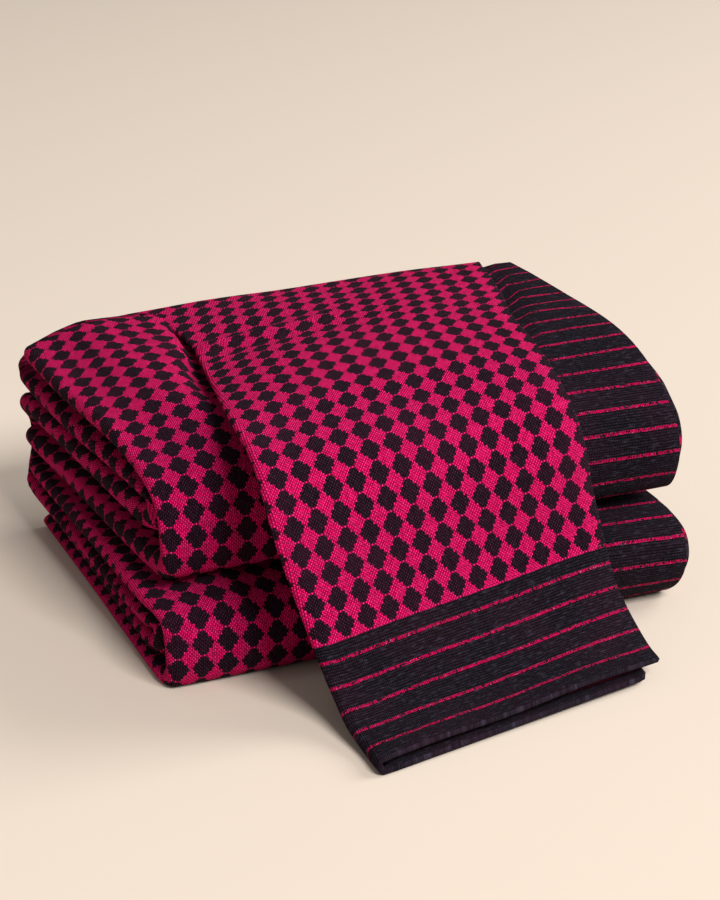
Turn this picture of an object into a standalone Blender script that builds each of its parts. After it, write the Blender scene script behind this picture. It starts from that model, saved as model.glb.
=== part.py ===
"""A folded bedsheet: one sheet of cloth, folded four layers across, then back and forth into a pile, its last stretch laid over the top and down the front."""

import bpy
import numpy as np

# Sizes in millimetres. X runs along the pile's front, Y towards its back and Z up from the surface it rests on.
CLOTH_THICKNESS = 2.0
HEM_THICKNESS = 3.2
HEM_ROWS = 2
LAYERS_ACROSS = 4
SIDE_TURN_BULGE = 5.0
RIGHT_TURN_STICKS_OUT = 7.0
LEFT_DROOP_REACH = 34.0
PRESSED_GAP = 3.2
PRESSED_SLOPE = 0.9
PRESSED_LEFT_FOR_INNER_LAYERS = 0.3
PAIR_MARGIN = 14.0
EDGE_MARGIN = 6.0
TURN_INSIDE_RADIUS = 0.35
FOURTH_SETTLES = 0.7
THIRD_STICKS_OUT = 0.6
SECOND_LAYER_PINCH = 0.6
PINCH_REACH = 0.15
THIRD_FROM = 1.8
FOURTH_FROM = 2.1
MM = 0.001

# One row a line across the cloth, from the end under the pile to the hem on the surface.
# The outer rail carries the layer that shows on the front folds, the inner rail the fourth layer from it.
# steps: lines made from this row to the next. left_x, right_x: the two ends of the folded width.
# loy, loz, liy, liz: outer and inner rail at the left end, then roy to riz the same at the right end.
# droop_o, droop_i: how far the left turns of the outer and inner rail sink. crown: how far the middle rises.
# pressed: how far the line gives way under the flap, 0 to 1.
# flap_o, flap_i: 0 where the outer two and the inner two layers have the full width, 1 where they have the flap's.
# pair_l, pair_r: the two ends of the flap's lowest two layers. pair_back: how far these two stay behind at the hem.
# settled: how far the third layer sinks towards the surface at the hem.
RAIL_COLUMNS = (
    "steps", "left_x", "loy", "loz", "liy", "liz",
    "right_x", "roy", "roz", "riy", "riz",
    "droop_o", "droop_i", "crown", "pressed", "flap_o", "flap_i", "pair_l", "pair_r",
    "pair_back", "settled",
)
RAILS = (
    # bottom pass, from its free end at the back to the lower front fold
    (2, 9.0, 207.0, 1.0, 205.0, 22.0, 285.0, 154.0, 1.0, 152.0, 22.0, 0.0, 2.0, 0.0, 0.0, 0.0, 0.0, 184.0, 238.0, 0.0, 0.0),
    (2, 8.0, 110.0, 1.0, 110.0, 21.0, 285.0, 66.0, 1.0, 66.0, 21.5, 0.0, 2.0, 0.0, 0.0, 0.0, 0.0, 184.0, 238.0, 0.0, 0.0),
    (1, 6.0, 8.0, 1.0, 20.0, 20.0, 285.0, -14.0, 1.0, -6.0, 21.0, 0.0, 1.0, 0.0, 0.0, 0.0, 0.0, 184.0, 238.0, 0.0, 0.0),
    (1, 7.0, -10.0, 1.1, 13.0, 20.2, 285.0, -29.0, 1.4, -15.0, 21.2, 0.0, 0.0, 0.0, 0.0, 0.0, 0.0, 184.0, 238.0, 0.0, 0.0),
    (1, 8.0, -16.5, 7.0, 9.0, 21.2, 285.0, -42.0, 9.5, -20.0, 22.2, 0.0, 0.0, 0.0, 0.0, 0.0, 0.0, 184.0, 238.0, 0.0, 0.0),
    (1, 8.0, -17.5, 18.0, 7.5, 22.6, 285.0, -50.0, 20.5, -23.0, 23.6, 0.0, 0.0, 0.0, 0.0, 0.0, 0.0, 184.0, 238.0, 0.0, 0.0),
    (1, 8.0, -16.0, 30.0, 7.5, 24.4, 285.0, -51.5, 32.0, -23.5, 25.4, 0.0, 0.0, 0.0, 0.0, 0.0, 0.0, 184.0, 238.0, 0.0, 0.0),
    (1, 8.0, -10.0, 40.0, 9.0, 25.8, 285.0, -46.0, 43.5, -22.0, 26.8, 2.0, 0.0, 0.0, 0.0, 0.0, 0.0, 184.0, 238.0, 0.0, 0.0),
    (1, 7.0, 3.0, 45.0, 13.0, 26.8, 285.0, -30.0, 50.0, -17.0, 27.8, 4.0, 2.0, 0.0, 0.0, 0.0, 0.0, 184.0, 238.0, 0.0, 0.0),
    # third pass, towards the back
    (2, 6.0, 24.0, 46.5, 26.0, 27.0, 285.0, -8.0, 52.5, -6.0, 28.0, 6.0, 4.0, 0.0, 0.0, 0.0, 0.0, 184.0, 238.0, 0.0, 0.0),
    (2, 4.0, 110.0, 50.0, 110.0, 28.5, 285.0, 66.0, 54.0, 66.0, 29.0, 8.0, 5.0, 0.0, 0.0, 0.0, 0.0, 184.0, 238.0, 0.0, 0.0),
    # fold at the back, where the inner rail is outside
    (1, 2.0, 194.0, 53.0, 202.0, 29.5, 285.0, 136.0, 56.0, 144.0, 30.5, 8.0, 5.0, 0.0, 0.0, 0.0, 0.0, 184.0, 238.0, 0.0, 0.0),
    (1, 4.0, 201.0, 53.6, 215.0, 35.0, 285.0, 143.0, 56.4, 157.0, 36.0, 4.0, 2.0, 0.0, 0.0, 0.0, 0.0, 184.0, 238.0, 0.0, 0.0),
    (1, 9.0, 204.0, 55.0, 222.0, 49.0, 285.0, 146.0, 57.8, 164.0, 51.0, 0.0, 0.0, 0.0, 0.0, 0.0, 0.0, 184.0, 238.0, 0.0, 0.0),
    (1, 9.0, 204.0, 57.8, 222.0, 66.5, 285.0, 146.0, 60.6, 164.0, 71.0, 0.0, 0.0, 0.0, 0.0, 0.0, 0.0, 184.0, 238.0, 0.0, 0.0),
    (1, 3.0, 201.0, 59.2, 215.0, 80.5, 285.0, 143.0, 62.0, 157.0, 86.0, 2.0, 0.0, 0.0, 0.0, 0.0, 0.0, 184.0, 238.0, 0.0, 0.0),
    # second pass, towards the front
    (2, 2.0, 193.0, 59.5, 201.0, 86.0, 285.0, 135.0, 62.4, 142.0, 91.0, 4.0, 1.0, 0.0, 0.0, 0.0, 0.0, 184.0, 238.0, 0.0, 0.0),
    (2, 8.0, 120.0, 56.5, 120.0, 85.0, 285.0, 70.0, 61.0, 70.0, 91.5, 5.0, 2.0, 0.0, 0.0, 0.0, 0.0, 184.0, 238.0, 0.0, 0.0),
    (1, 13.0, 42.0, 52.0, 46.0, 82.0, 285.0, -2.0, 60.5, 6.0, 92.0, 3.0, 1.0, 0.0, 0.0, 0.0, 0.0, 184.0, 238.0, 0.0, 0.0),
    # upper front fold
    (1, 15.0, 19.0, 49.6, 36.0, 82.0, 285.0, -19.0, 60.5, -3.0, 92.3, 1.0, 0.0, 0.0, 0.0, 0.0, 0.0, 184.0, 238.0, 0.0, 0.0),
    (1, 16.0, 8.0, 53.0, 32.0, 83.0, 285.0, -33.0, 66.5, -7.5, 93.4, 0.0, 0.0, 0.0, 0.0, 0.0, 0.0, 184.0, 238.0, 0.0, 0.0),
    (1, 16.0, 5.5, 67.0, 30.5, 84.4, 285.0, -39.5, 79.0, -9.0, 94.8, 0.0, 0.0, 0.0, 0.0, 0.0, 0.0, 184.0, 238.0, 0.0, 0.0),
    (1, 16.0, 8.5, 84.0, 30.5, 86.2, 285.0, -40.0, 93.0, -9.0, 96.6, 0.0, 0.0, 0.0, 0.0, 0.0, 0.0, 184.0, 238.0, 0.0, 0.0),
    (1, 15.5, 16.5, 97.0, 32.0, 87.6, 285.0, -32.5, 108.0, -7.5, 98.2, 2.0, 0.0, 0.0, 0.0, 0.0, 0.0, 184.0, 238.0, 0.0, 0.0),
    (1, 15.0, 30.0, 106.5, 36.0, 88.8, 285.0, -16.5, 121.5, -3.0, 99.4, 5.0, 2.0, 0.0, 0.5, 0.0, 0.0, 184.0, 238.0, 0.0, 0.0),
    # top pass, towards the back
    (1, 14.0, 51.0, 114.5, 52.0, 89.5, 285.0, 9.0, 132.5, 14.0, 100.0, 8.0, 3.0, 0.0, 1.0, 0.0, 0.0, 184.0, 238.0, 0.0, 0.0),
    (2, 11.5, 82.0, 121.5, 82.0, 90.5, 285.0, 44.0, 138.0, 44.0, 100.0, 10.0, 4.0, 0.0, 1.0, 0.0, 0.0, 184.0, 238.0, 0.0, 0.0),
    (2, 6.0, 138.0, 125.5, 138.0, 92.0, 285.0, 100.0, 139.5, 100.0, 100.0, 11.0, 4.0, 0.0, 1.0, 0.0, 0.0, 184.0, 238.0, 0.0, 0.0),
    # fold at the back into the flap: the outer two layers narrow before it, the inner two go round it
    (1, 3.0, 197.0, 126.5, 201.0, 92.5, 285.0, 146.5, 139.5, 151.0, 100.5, 8.0, 2.0, 0.0, 1.0, 0.0, 0.0, 110.0, 238.0, 0.0, 0.0),
    (1, 3.0, 204.0, 124.0, 211.0, 95.0, 285.0, 150.0, 138.5, 158.0, 104.0, 6.0, 0.0, 0.0, 1.0, 1.0, 0.0, 110.0, 238.0, 0.0, 0.0),
    (1, 6.0, 204.5, 117.2, 219.0, 102.0, 282.0, 151.9, 132.0, 166.0, 114.0, 4.0, 0.0, 0.0, 0.5, 1.0, 0.1, 110.0, 236.0, 0.0, 0.0),
    (1, 20.0, 200.0, 117.2, 220.5, 111.0, 279.0, 150.6, 132.0, 169.0, 126.0, 0.0, 0.0, 0.0, 0.0, 1.0, 0.4, 112.0, 234.0, 0.0, 0.0),
    (1, 52.0, 189.0, 117.2, 214.5, 120.0, 274.0, 148.0, 132.0, 163.0, 136.5, 0.0, 0.0, 1.0, 0.0, 1.0, 0.85, 116.0, 231.0, 0.0, 0.0),
    # flap over the top, towards the front
    (2, 80.0, 174.0, 117.0, 197.0, 125.6, 266.0, 139.0, 131.8, 147.0, 140.4, 0.0, 0.0, 2.0, 0.0, 1.0, 1.0, 120.0, 227.0, 0.0, 0.0),
    (2, 78.0, 134.0, 118.2, 134.0, 126.6, 252.0, 98.0, 132.4, 98.0, 141.0, 0.0, 0.0, 5.0, 0.0, 1.0, 1.0, 140.0, 214.0, 0.0, 0.0),
    (2, 66.0, 74.0, 121.0, 74.0, 129.5, 238.0, 60.0, 131.9, 60.0, 140.4, 0.0, 0.0, 6.5, 0.0, 1.0, 1.0, 155.0, 205.0, 0.0, 0.0),
    (1, 55.5, 22.0, 121.0, 18.0, 131.0, 231.0, 22.0, 128.4, 20.0, 137.6, 0.0, 0.0, 3.5, 0.0, 1.0, 1.0, 158.0, 203.0, 0.0, 0.0),
    (1, 52.5, -1.0, 119.0, -6.0, 129.0, 227.0, 2.0, 125.0, -1.0, 134.6, 0.0, 0.0, 1.0, 0.0, 1.0, 1.0, 160.5, 204.5, 0.0, 0.0),
    # down over the front folds
    (1, 50.0, -22.0, 115.5, -28.0, 125.0, 223.5, -17.0, 119.0, -22.0, 128.4, 0.0, 0.0, 0.0, 0.0, 1.0, 1.0, 160.5, 206.5, 0.0, 0.0),
    (1, 48.0, -37.0, 108.0, -45.0, 116.0, 222.5, -31.0, 110.0, -38.0, 117.5, 0.0, 0.0, 0.0, 0.0, 1.0, 1.0, 160.5, 207.5, 0.0, 0.0),
    (1, 47.5, -46.0, 97.0, -55.0, 102.5, 223.5, -38.5, 97.0, -47.0, 101.5, 0.0, 0.0, 0.0, 0.0, 1.0, 1.0, 162.5, 212.0, 0.0, 0.0),
    (2, 49.5, -51.0, 84.0, -60.5, 87.5, 225.0, -41.5, 82.5, -50.0, 85.0, 0.0, 0.0, 0.0, 0.0, 1.0, 1.0, 165.5, 215.5, 0.0, 0.0),
    (2, 55.5, -58.0, 58.0, -68.0, 61.0, 228.5, -47.5, 57.5, -56.5, 59.5, 0.0, 0.0, 0.0, 0.0, 1.0, 1.0, 171.5, 222.0, 0.0, 0.0),
    (1, 61.5, -67.0, 32.0, -77.5, 36.0, 231.0, -57.0, 32.0, -66.0, 35.0, 0.0, 0.0, 0.0, 0.0, 1.0, 1.0, 175.0, 225.0, 0.0, 0.0),
    (1, 65.5, -76.0, 13.0, -86.0, 20.0, 233.0, -67.0, 15.0, -76.0, 22.5, 0.0, 0.0, 0.0, 0.0, 1.0, 1.0, 178.0, 226.0, 0.0, 0.0),
    # hem, lying on the surface
    (1, 67.0, -91.0, 3.0, -99.0, 14.2, 233.0, -80.0, 4.0, -89.0, 17.6, 0.0, 0.0, 0.0, 0.0, 1.0, 1.0, 178.0, 224.0, 7.0, 3.5),
    (1, 67.0, -109.0, 1.7, -116.0, 12.4, 232.0, -93.0, 1.7, -101.0, 16.2, 0.0, 0.0, 0.0, 0.0, 1.0, 1.0, 177.0, 222.0, 18.0, 7.0),
    (0, 66.0, -127.0, 1.7, -132.0, 12.4, 230.0, -106.0, 1.7, -112.0, 16.2, 0.0, 0.0, 0.0, 0.0, 1.0, 1.0, 175.0, 220.0, 28.0, 7.0),
)
FLAP_FIRST_ROW = 31
FLAP_LAST_ROW = 38

# One row a place across the folded width: the layer it lies on (0 is the outer rail, 3 the inner),
# where it lies on the pile and where on the flap, both as a share from left to right. On the flap the share is
# of the lowest pair's width for layers 0 and 1, of the width up to the pair's right end for layer 2, and of the whole for 3.
# A row of layer 0.5, 1.5 or 2.5 stands for the turn that joins two layers.
ACROSS = (
    (0.0, 1.0, 0.97),
    (0.0, 0.93, 0.9),
    (0.0, 0.86, 0.82),
    (0.0, 0.79, 0.74),
    (0.0, 0.71, 0.66),
    (0.0, 0.62, 0.58),
    (0.0, 0.5, 0.5),
    (0.0, 0.4, 0.42),
    (0.0, 0.33, 0.34),
    (0.0, 0.27, 0.27),
    (0.0, 0.21, 0.2),
    (0.0, 0.15, 0.14),
    (0.0, 0.08, 0.09),
    (0.0, 0.02, 0.04),
    (0.5, 0.0, 0.0),
    (1.0, 0.03, 0.06),
    (1.0, 0.3, 0.35),
    (1.0, 0.66, 0.68),
    (1.0, 0.97, 0.97),
    (1.5, 1.0, 1.0),
    (2.0, 0.97, 0.98),
    (2.0, 0.8, 0.8),
    (2.0, 0.5, 0.5),
    (2.0, 0.25, 0.25),
    (2.0, 0.03, 0.04),
    (2.5, 0.0, 0.0),
    (3.0, 0.02, 0.03),
    (3.0, 0.12, 0.12),
    (3.0, 0.32, 0.28),
    (3.0, 0.52, 0.46),
    (3.0, 0.7, 0.64),
    (3.0, 0.84, 0.82),
    (3.0, 0.95, 1.0),
)
TURN_STEPS = 5


def soft_step(t):
    t = np.clip(t, 0.0, 1.0)
    return t * t * (3.0 - 2.0 * t)


def smooth_through(values, steps):
    """Each column as a curve through its rows, with a row's number of steps to the next."""
    points = np.vstack([2 * values[0] - values[1], values, 2 * values[-1] - values[-2]])
    out = []
    for i, count in enumerate(steps[:-1].astype(int)):
        p0, p1, p2, p3 = points[i : i + 4]
        for t in np.arange(count) / count:
            a = 2 * p1 + (p2 - p0) * t
            b = (2 * p0 - 5 * p1 + 4 * p2 - p3) * t * t
            c = (3 * p1 - p0 - 3 * p2 + p3) * t * t * t
            out.append((a + b + c) / 2)
    out.append(values[-1])
    return np.array(out)


def across_points():
    """Places across the width: layer height (0 to 1 from outer to inner rail), share of width on pile and flap, and how far each bulges out at a turn."""
    rows = []
    gaps = LAYERS_ACROSS - 1
    for layer, pile, flap in ACROSS:
        if layer == int(layer):
            rows.append((layer / gaps, pile, flap, 0.0, 0.0))
            continue
        left = layer != 1.5
        for k in range(1, TURN_STEPS + 1):
            angle = np.pi * k / (TURN_STEPS + 1)
            height = (int(layer) + (1 - np.cos(angle)) / 2) / gaps
            out = np.sin(angle)
            rows.append((height, pile, flap, -out if left else 0.0, 0.0 if left else out))
    return np.array(rows)


def pinched(height, pile):
    """The height of each place with the second layer's right end drawn up close under the outer layer."""
    second = 1 / (LAYERS_ACROSS - 1)
    near = soft_step((pile - 1 + PINCH_REACH) / PINCH_REACH) * (height > 0)
    drawn = height - SECOND_LAYER_PINCH * second * np.clip(2 - height / second, 0.0, 1.0)
    return np.where(height < 2 * second, height + (drawn - height) * near, height)


def below_flap(line, steps, x, y):
    """The highest place for the middle of the cloth under the flap at each x, y: a gap under the flap's lowest layer, rising away from its edges."""
    first = int(steps[:FLAP_FIRST_ROW].sum())
    last = int(steps[:FLAP_LAST_ROW].sum())
    third = 2 / (LAYERS_ACROSS - 1)
    tops = []
    places = []
    for k in range(first, last + 1):
        left, right = line["left_x"][k], line["right_x"][k]
        outside = np.maximum(np.maximum(left - EDGE_MARGIN - x, x - EDGE_MARGIN - right), 0.0)
        share = np.clip((x - left) / (right - left), 0.0, 1.0)
        before_pair = soft_step((line["pair_l"][k] - x) / PAIR_MARGIN)
        after_pair = soft_step((x - line["pair_r"][k] - PAIR_MARGIN) / PAIR_MARGIN)
        height = third * before_pair + after_pair
        left_z = line["loz"][k] * (1 - height) + line["liz"][k] * height
        right_z = line["roz"][k] * (1 - height) + line["riz"][k] * height
        left_y = line["loy"][k] * (1 - height) + line["liy"][k] * height
        right_y = line["roy"][k] * (1 - height) + line["riy"][k] * height
        crown = 4 * line["crown"][k] * share * (1 - share)
        tops.append(left_z * (1 - share) + right_z * share + crown + PRESSED_SLOPE * outside)
        places.append(left_y * (1 - share) + right_y * share)
    top = tops[0]
    for k in range(len(tops) - 1):
        part_way = np.clip((places[k] - y) / np.maximum(places[k] - places[k + 1], 0.1), 0.0, 1.0)
        top = top + (tops[k + 1] - tops[k]) * part_way
    return top - PRESSED_GAP


def middle_surface():
    """Points of the cloth's middle, one row a line across, and the cloth's thickness on each line."""
    rails = np.array(RAILS, float)
    steps = rails[:, 0]
    line = dict(zip(RAIL_COLUMNS[1:], smooth_through(rails[:, 1:], steps).T))
    for name in ("pressed", "flap_o", "flap_i"):
        line[name] = np.clip(line[name], 0.0, 1.0)
    column = {name: values[:, None] for name, values in line.items()}
    to_hem = len(line["left_x"]) - 1 - np.arange(len(line["left_x"]))
    thickness = CLOTH_THICKNESS + (HEM_THICKNESS - CLOTH_THICKNESS) * soft_step(1 - to_hem / HEM_ROWS)
    height, pile, flap, left_out, right_out = across_points().T
    width = column["right_x"] - column["left_x"]
    layer = height * (LAYERS_ACROSS - 1)
    to_third = np.clip(layer - 1, 0.0, 1.0)
    on_flap = column["flap_o"] * (1 - to_third) + column["flap_i"] * to_third
    of_pair = column["pair_l"] + (column["pair_r"] - column["pair_l"]) * flap
    of_third = column["left_x"] + (column["pair_r"] - column["left_x"]) * flap
    of_all = column["left_x"] + width * flap
    flap_x = np.where(layer < THIRD_FROM, of_pair, np.where(layer < FOURTH_FROM, of_third, of_all))
    x = column["left_x"] + width * pile
    x = x + (flap_x - x) * on_flap
    share = (x - column["left_x"]) / width
    height = pinched(height, pile) * (1 - on_flap) + height * on_flap
    spacing = np.hypot(column["loy"] - column["liy"], column["loz"] - column["liz"]) / (LAYERS_ACROSS - 1)
    roundest = (spacing / 2) ** 2 / (thickness[:, None] / 2 + TURN_INSIDE_RADIUS)
    x = x + np.minimum(SIDE_TURN_BULGE, roundest) * left_out + np.minimum(RIGHT_TURN_STICKS_OUT, roundest) * right_out
    outer_y = column["loy"] * (1 - share) + column["roy"] * share
    inner_y = column["liy"] * (1 - share) + column["riy"] * share
    outer_z = column["loz"] * (1 - share) + column["roz"] * share
    inner_z = column["liz"] * (1 - share) + column["riz"] * share
    y = outer_y * (1 - height) + inner_y * height
    z = outer_z * (1 - height) + inner_z * height
    near_left = soft_step(1 - (width * share) / LEFT_DROOP_REACH)
    z = z - (column["droop_o"] * (1 - height) + column["droop_i"] * height) * near_left
    z = z + 4 * column["crown"] * share * (1 - share)
    pressed = np.maximum(outer_z - column["droop_o"] * near_left - below_flap(line, steps, x, outer_y), 0.0)
    z = z - column["pressed"] * pressed * (1 - (1 - PRESSED_LEFT_FOR_INNER_LAYERS) * height)
    y = y + column["pair_back"] * (1 - to_third)
    of_settled = to_third - (1 - FOURTH_SETTLES) * np.clip(layer - 2, 0.0, 1.0)
    y = y - column["settled"] * THIRD_STICKS_OUT * np.clip(1 - np.abs(layer - 2), 0.0, 1.0)
    z = z - column["settled"] * of_settled
    z = np.maximum(z, thickness[:, None] / 2)
    return np.stack([x, y, z], axis=2), thickness


def unit(vectors):
    return vectors / np.linalg.norm(vectors, axis=2, keepdims=True)


def footprint_centre(points):
    return [*(points.max(axis=0) + points.min(axis=0))[:2] / 2, 0.0]


def cloth_solid():
    """The cloth's two faces and its four edges as one closed mesh: vertices in millimetres and faces."""
    middle, thickness = middle_surface()
    rows, columns, _ = middle.shape
    normal = unit(np.cross(np.gradient(middle, axis=1), np.gradient(middle, axis=0)))
    offset = normal * thickness[:, None, None] / 2
    grid = np.arange(rows * columns).reshape(rows, columns)
    a, b, c, d = grid[:-1, :-1], grid[:-1, 1:], grid[1:, 1:], grid[1:, :-1]
    face = np.stack([a, b, c, d], axis=2).reshape(-1, 4)
    other = face[:, ::-1] + rows * columns
    rim = np.concatenate([grid[0, :], grid[1:, -1], grid[-1, -2::-1], grid[-2:0:-1, 0]])
    after = np.roll(rim, -1)
    side = np.stack([after, rim, rim + rows * columns, after + rows * columns], axis=1)
    points = np.vstack([(middle + offset).reshape(-1, 3), (middle - offset).reshape(-1, 3)])
    points[:, 2] = np.maximum(points[:, 2], 0.0)
    return points, np.vstack([face, other, side])


def cloth_material():
    material = bpy.data.materials.new("cloth")
    material.use_nodes = True
    shader = material.node_tree.nodes["Principled BSDF"]
    shader.inputs["Base Color"].default_value = (0.42, 0.005, 0.08, 1.0)
    shader.inputs["Roughness"].default_value = 0.9
    return material


def main():
    for thing in list(bpy.data.objects):
        bpy.data.objects.remove(thing, do_unlink=True)
    collection = bpy.data.collections.new("folded_bedsheet")
    bpy.context.scene.collection.children.link(collection)
    points, faces = cloth_solid()
    points = (points - footprint_centre(points)) * MM
    mesh = bpy.data.meshes.new("bedsheet")
    mesh.from_pydata(points.tolist(), [], faces.tolist())
    mesh.update()
    mesh.shade_smooth()
    mesh.materials.append(cloth_material())
    sheet = bpy.data.objects.new("bedsheet", mesh)
    collection.objects.link(sheet)


main()
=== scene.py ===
"""A folded handloom bedsheet, dressed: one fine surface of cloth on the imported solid's folds, with its woven
check, its striped border and its striped end."""

import bpy
import numpy as np
from mathutils import Matrix


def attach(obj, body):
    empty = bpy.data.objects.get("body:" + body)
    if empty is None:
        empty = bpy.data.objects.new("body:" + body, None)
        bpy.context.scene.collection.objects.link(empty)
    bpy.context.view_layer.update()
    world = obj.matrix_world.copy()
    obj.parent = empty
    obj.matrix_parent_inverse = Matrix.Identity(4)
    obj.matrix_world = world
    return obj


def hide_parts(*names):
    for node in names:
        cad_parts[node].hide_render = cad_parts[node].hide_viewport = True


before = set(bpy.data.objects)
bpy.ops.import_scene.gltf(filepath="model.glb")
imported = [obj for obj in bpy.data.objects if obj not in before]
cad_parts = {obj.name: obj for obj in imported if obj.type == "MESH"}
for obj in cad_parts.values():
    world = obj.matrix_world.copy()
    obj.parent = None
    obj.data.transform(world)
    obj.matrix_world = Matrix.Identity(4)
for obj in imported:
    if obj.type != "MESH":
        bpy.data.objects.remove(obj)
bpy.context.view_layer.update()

# Sizes in millimetres. X runs along the pile's front, Y towards its back and Z up from the surface below it.
MM = 0.001
LAYERS_ACROSS = 4
CLOTH_THICKNESS = 2.0

# The cloth thickens to its hem over the last rows of the table of rails.
HEM_THICKNESS = 3.2
HEM_ROWS = 2

# How far a closed edge of the cloth is rounded out, as a share of its thickness.
LIP = 0.32

# Turns at the sides: how far they stand out at the left and at the right, the radius left inside one, and how
# far in from the left their droop reaches.
SIDE_TURN_BULGE = 5.0
RIGHT_TURN_STICKS_OUT = 7.0
TURN_INSIDE_RADIUS = 0.35
LEFT_DROOP_REACH = 34.0

# Under the flap the top gives way by a gap. From EDGE_MARGIN outside the flap's edges it rises by the slope.
# The ends of the flap's lowest pair ease in over PAIR_MARGIN. The top's own fourth layer takes only a share
# of the dent.
PRESSED_GAP = 3.2
PRESSED_SLOPE = 0.9
PRESSED_LEFT_FOR_INNER_LAYERS = 0.3
EDGE_MARGIN = 6.0
PAIR_MARGIN = 14.0

# Beside the flap the top rises faster from BACK_SLOPE_FROM towards the back, over BACK_SLOPE_REACH, so that
# the groove at the flap's left edge closes there. In front of that it is GROOVE_DEEPER deeper.
BACK_SLOPE = 5.0
BACK_SLOPE_FROM = 95.0
BACK_SLOPE_REACH = 70.0
GROOVE_DEEPER = 4.0

# Layer numbers from which a place of the flap has the width of its third layer, and then of its fourth.
THIRD_FROM = 1.8
FOURTH_FROM = 2.1

# How much of its gap the second layer's right end is drawn up by, and over what share of the folded width.
SECOND_LAYER_PINCH = 0.6
PINCH_REACH = 0.15

# For each millimetre that the third layer sinks at the hem: how far the fourth sinks and the third comes out.
FOURTH_SETTLES = 0.7
THIRD_STICKS_OUT = 0.6

# One row a line across the cloth, from the end under the pile to the hem on the surface.
# The outer rail carries the layer that shows on the front folds, the inner rail the fourth layer from it.
# steps: steps from this row to the next, of LINES_PER_STEP lines each.
# left_x, right_x: the two ends of the folded width.
# loy, loz, liy, liz: outer and inner rail at the left end, then roy to riz the same at the right end.
# droop_o, droop_i: how far the left turns of the outer and inner rail sink. crown: how far the middle rises.
# pressed: how far the line gives way under the flap, 0 to 1.
# flap_o, flap_i: 0 where the outer two and the inner two layers have the full width, 1 where they have the
# flap's.
# pair_l, pair_r: the two ends of the flap's lowest two layers. pair_back: how far these two stay behind at
# the hem.
# settled: how far the third layer sinks towards the surface at the hem.
RAIL_COLUMNS = (
    "steps", "left_x", "loy", "loz", "liy", "liz",
    "right_x", "roy", "roz", "riy", "riz",
    "droop_o", "droop_i", "crown", "pressed", "flap_o", "flap_i", "pair_l", "pair_r",
    "pair_back", "settled",
)
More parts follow.
